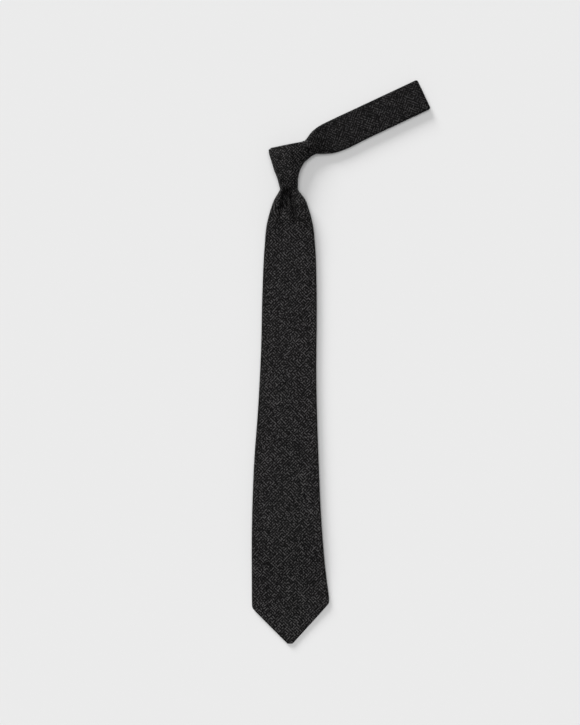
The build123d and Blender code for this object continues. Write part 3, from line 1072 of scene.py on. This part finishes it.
def to_band(grid):
    """Turns a grid given along the neck band (place, across, height) into the frame."""
    flat = grid[..., 0:1] * ALONG + grid[..., 1:2] * ACROSS + THROAT
    return np.dstack([flat, grid[..., 2:3]])


UPPER_EDGE = [(NECK_START, 5.5), (-8, 7.2), (-3, 8.8), (-0.8, 10.0), (3.4, 12.4), (8.6, 14.4),
              (13, 15.5), (18, 16.1), (26, 16.3), (60, 16.3), (140, 16.2)]
LOWER_EDGE = [(NECK_START, -13.0), (-14, -11.2), (-10, -10.0), (-6, -9.1), (0.8, -9.2), (6, -11.6),
              (10.7, -13.5), (17, -15.6), (24, -16.7), (60, -16.8), (140, -16.8)]


def neck_edges(s):
    """Gives the neck's lower and upper edges, across it, at a place along it."""
    return curve(LOWER_EDGE, s)[0], curve(UPPER_EDGE, s)[0]


def make_throat():
    """Makes the two gathered strands between the knot and the neck band."""
    places = spaced((NECK_START, 1.0), (THROAT_CUT, 0))
    upper_back = [(NECK_START, 6.0), (0, 5.4), (12, 4.5), (THROAT_CUT, 4.3)]
    upper_depth = [(NECK_START, 7.0), (0, 7.4), (8, 5.4), (15, 3.7), (THROAT_CUT, PLY_THICK)]
    lower_back = [(NECK_START, 1.2), (THROAT_CUT, 1.1)]
    lower_depth = [(NECK_START, 4.0), (0, 3.8), (12, 3.1), (THROAT_CUT, PLY_THICK)]

    def gathered(s):
        fade = float(1 - ease(s, 6, 20))

        def rise(t):
            lower, upper = neck_edges(s)
            across = t / (upper - lower) * 2
            line = curve([(NECK_START, -3.2), (-14, -3.8), (0, -6.4), (13, -14), (30, -20)], s)[0]
            fold = 1.9 * bump(t, line, 2.8)
            slope = 2.0 * ease(-t, 4, 12)
            pleats = 0.2 * np.sin(across * 8 + 1) + 0.12 * np.sin(across * 15)
            crown = 0.3 * (1 - (t / 17) ** 2)
            return crown + fade * (0.9 * bump(t, 3.0, 5.0) - fold - slope + pleats)

        return rise

    def smooth(s):
        return lambda t: 0.0 * t

    def strand(back, depth, face, inset, face_up):
        rows = []
        for s in places:
            lower, upper = neck_edges(s)
            tuck = inset * float(1 - ease(s, 8, THROAT_CUT))
            bottom, thick = curve(back, s)[0], curve(depth, s)[0]
            t, z = envelope_row(lower + tuck, upper - tuck, bottom, thick,
                                -SEAM_GAP, SEAM_GAP, face(s))
            if not face_up:
                z = 2 * bottom + thick - z
            rows.append(np.column_stack([np.full(len(t), s), t, z]))
        grid = to_band(np.array(rows))
        return grid[:, ::-1] if face_up else grid

    for name, back, depth, face, inset, face_up in (
        ("throat_silk_upper", upper_back, upper_depth, gathered, 0.0, True),
        ("throat_silk_lower", lower_back, lower_depth, smooth, 0.5, False),
    ):
        grid = strand(back, depth, face, inset, face_up)
        piece = thin_sheet(name, grid, start=NECK_START)
        cut_cloth(piece, neck_silk_painted_darker, grid)
        settle(piece, THROAT_BEND, "neck_throat_shell")


def band_frame():
    """Gives the neck band's centre line, from the upper ply round its end to the lower one.

    Each step is the place along, the height, and the outward direction (along, up).
    """
    ply_gap = 0.4
    reach = BAND_END - PLY_THICK - ply_gap / 2
    radius = (PLY_THICK + ply_gap) / 2
    middle = low("neck_lower_ply")[2] + PLY_THICK + ply_gap / 2
    steps = []
    for s in spaced((THROAT_CUT, 3), (reach - 6, 1.0), (reach, 0))[:-1]:
        steps.append((s, middle + radius, 0.0, 1.0))
    for angle in np.linspace(pi / 2, -pi / 2, 19):
        steps.append((reach + radius * cos(angle), middle + radius * sin(angle),
                      cos(angle), sin(angle)))
    for s in spaced((reach, 1.0), (reach - 6, 3), (THROAT_CUT, 0))[1:]:
        steps.append((s, middle - radius, 0.0, -1.0))
    return steps


def make_neck_band():
    """Makes the doubled neck band: one folded envelope, bent back on itself at its end."""
    rows = []
    wool = []
    for s, height, out_along, out_up in band_frame():
        lower, upper = neck_edges(s)
        drape = 0.18 * sin(s / 11) * (1 - abs(out_along)) * float(ease(s, THROAT_CUT, 40))

        def face(t, drape=drape):
            return (0.3 + drape * np.cos(t / 7)) * (1 - (t / 17) ** 2)

        t, depth = envelope_row(lower, upper, -PLY_THICK / 2, PLY_THICK, -SEAM_GAP, SEAM_GAP, face)
        if out_up < 0 or out_along > 0:
            depth = np.minimum(depth, PLY_THICK / 2 + 0.02)
        rows.append(np.column_stack([s + depth * out_along, t, height + depth * out_up]))
        t, depth = padding_row(lower + 1.4, upper - 1.4, -0.1, 0.75)
        wool.append(np.column_stack([s + depth * out_along, t, height + depth * out_up]))
    grid = to_band(np.array(rows)[:, ::-1])
    piece = thin_sheet("neck_band_silk", grid, start=THROAT_CUT)
    cut_cloth(piece, neck_silk_painted_darker, grid)
    settle(piece, BAND_BEND, "neck_upper_ply", "neck_lower_ply", "neck_fold")
    pad("neck_band_wool", to_band(np.array(wool)[2:-2, ::-1]), BAND_BEND,
        "upper_ply_interlining", "lower_ply_interlining")
    z = low("neck_lower_ply")[2]
    paths = []
    slant = 0.5 * (ALONG + ACROSS) / sqrt(2)
    for t in np.arange(-15.5, 15.6, 1.2):
        spot = THROAT + (PIECING + t) * ALONG + t * ACROSS
        paths.append([(*(spot + share * slant), z + rise)
                      for share, rise in ((-1, 0.05), (-0.6, -0.1), (0.6, -0.1), (1, 0.05))])
    sew("piecing_stitches", paths, BAND_BEND, "piecing_seam", 0.11)


# --- knot

KNOT_LEFT = [(0.0, -10.9), (0.28, -14.2), (0.44, -16.9), (0.6, -18.8), (0.75, -20.6),
             (0.9, -22.3), (1.0, -22.8)]
KNOT_RIGHT = [(0.0, 8.5), (0.22, 8.8), (0.42, 11.2), (0.6, 16.3), (0.8, 20.2), (1.0, 20.6)]
KNOT_CROWN = [(0.0, 16.8), (0.15, 18.6), (0.5, 20.8), (0.85, 21.2), (1.0, 19.6)]
KNOT_TOP = [(-22.6, 18.2), (-20, 19.1), (-16, 19.9), (-11, 20.9), (-6.4, 21.9), (0, 23.2),
            (7.5, 24.6), (13.9, 26.0), (20.6, 29.4)]
KNOT_FOOT = [(-11, -22.0), (-6, -22.7), (-1, -22.3), (4, -22.7), (9, -22.0)]


def knot_surface(turns, inset, v_start, v_end):
    """Makes the outside of the knot's wrap over some turns: 0 is behind, 0.5 is in front."""
    out = []
    for v in np.linspace(v_start, v_end, 30):
        left = curve(KNOT_LEFT, v)[0] + inset
        right = curve(KNOT_RIGHT, v)[0] - inset
        crown = curve(KNOT_CROWN, v)[0] - inset
        floor = 0.5 + inset
        angle = -pi / 2 - np.asarray(turns) * 2 * pi
        across, up = np.cos(angle), np.sin(angle)
        power = np.where(up < 0, 0.5, 0.72)
        x = (left + right) / 2 + (right - left) / 2 * np.sign(across) * np.abs(across) ** power
        z = (floor + crown) / 2 + (crown - floor) / 2 * np.sign(up) * np.abs(up) ** power
        side = (x - (left + right) / 2) / (right - left) * 2
        z = z - 6.0 * ease(side, -0.1, 1.0) * np.clip(up, 0, 1) * ease(v, 0.1, 0.7)
        pinch = 0.5 * ease(-side, 0.2, 1.0) * ease(v, 0.25, 1.0)
        z = z + pinch * (9.0 - z)
        y_foot = curve(KNOT_FOOT, np.clip(x, -11, 9))
        y_top = curve(KNOT_TOP, x)
        pucker = 0.3 * np.sin(x * 0.55 + 2.2 * v) * np.clip(up, 0, 1) * ease(v, 0, 0.3)
        out.append(np.column_stack([x, y_foot + v * (y_top - y_foot), z + pucker]))
    return np.array(out)


def turned_places(grid):
    """Gives the wrap's cloth places: its cloth is turned a quarter from the blade's."""
    places = cloth_places(grid)
    return np.dstack([places[..., 1], -places[..., 0]])


def wrap_piece(name, node, turns, inset, wall, v_start=0.0, v_end=1.0):
    """Makes one pass of the knot as a padded strip with rolled edges."""
    grid = knot_surface(turns, inset, v_start, v_end)[::-1]
    piece = round_sheet(name, grid, wall, turned_places(grid))
    cut_cloth(piece, knot_silk_painted_darker, grid)
    settle(piece, "knot", node)


def make_knot():
    """Makes the knot's passes, and the ends of the blade and tail inside it."""
    turns = np.linspace(0.13, 0.87, 110)
    wrap_piece("wrap_front", "knot_front_wrap", turns, 0.0, 1.7)
    turns = np.linspace(-0.24, 0.24, 60)
    wrap_piece("wrap_back", "knot_back_wrap", turns, 0.9, 1.5, 0.06, 0.9)
    grid = knot_surface(np.linspace(0.2, 0.8, 60), 2.2, 0.05, 0.9)[::-1]
    piece = round_sheet("wrap_wool", grid, 1.2)
    cut_cloth(piece, felt, grid)
    settle(piece, "knot", "wrap_interlining")
    make_rising_pass()
    make_inner_strands()


def make_rising_pass():
    """Makes the pass that rises behind the neck, rolls over the top and goes down again."""
    columns = []
    for x in np.linspace(-20.4, 15.5, 49):
        top = curve(KNOT_TOP, x)[0] + 0.4
        start = 4 + 10 * float(ease(x, 4, 15)) + 7 * float(ease(-x, 6, 18))
        edge = 1 - 0.3 * ((x + 1.5) / 17) ** 4
        radius = 5.8 * edge * (1 - 0.62 * float(ease(-x, 7, 20.4)))
        middle = 10.2 - 0.8 * float(ease(-x, 4, 19))
        path = [(y, middle - radius) for y in np.linspace(start, top - radius, 10)[:-1]]
        for angle in np.linspace(-pi / 2, pi / 2, 17):
            path.append((top - radius + radius * cos(angle), middle + radius * sin(angle)))
        path += [(y, middle + radius) for y in np.linspace(top - radius, start, 10)[1:]]
        columns.append([(x, y, z) for y, z in path])
    grid = np.transpose(np.array(columns), (1, 0, 2))[:, ::-1]
    grid[..., 2] += 0.3 * np.sin(grid[..., 0] * 0.5)
    piece = round_sheet("rising_pass_silk", grid, 1.3)
    cut_cloth(piece, knot_silk_painted_darker, grid)
    settle(piece, "knot", "knot_rising_pass")


def make_inner_strands():
    """Makes the blade's and the tail's stretches inside the knot, as folded envelopes."""
    for name, back, depth, half, node in (
        ("blade_root_silk", 8.0, 5.4, 6.6, "blade_root"),
        ("tail_strand_silk", 3.6, 3.2, 6.4, "knot_tail_strand"),
    ):
        rows = []
        for y in spaced((12, 2), (-14.5, 0)):
            x, z = envelope_row(-half - 1, half - 1, back, depth, -SEAM_GAP, SEAM_GAP,
                                lambda x: 0.2 * np.cos(x))
            rows.append(section(x, y, z))
        lay_silk(name, np.array(rows), "knot", node)


make_knot()
make_throat()
make_neck_band()
make_front_silk()
make_front_filling()
make_tail()
make_tippings()
make_sewing()
make_keeper()
make_labels()

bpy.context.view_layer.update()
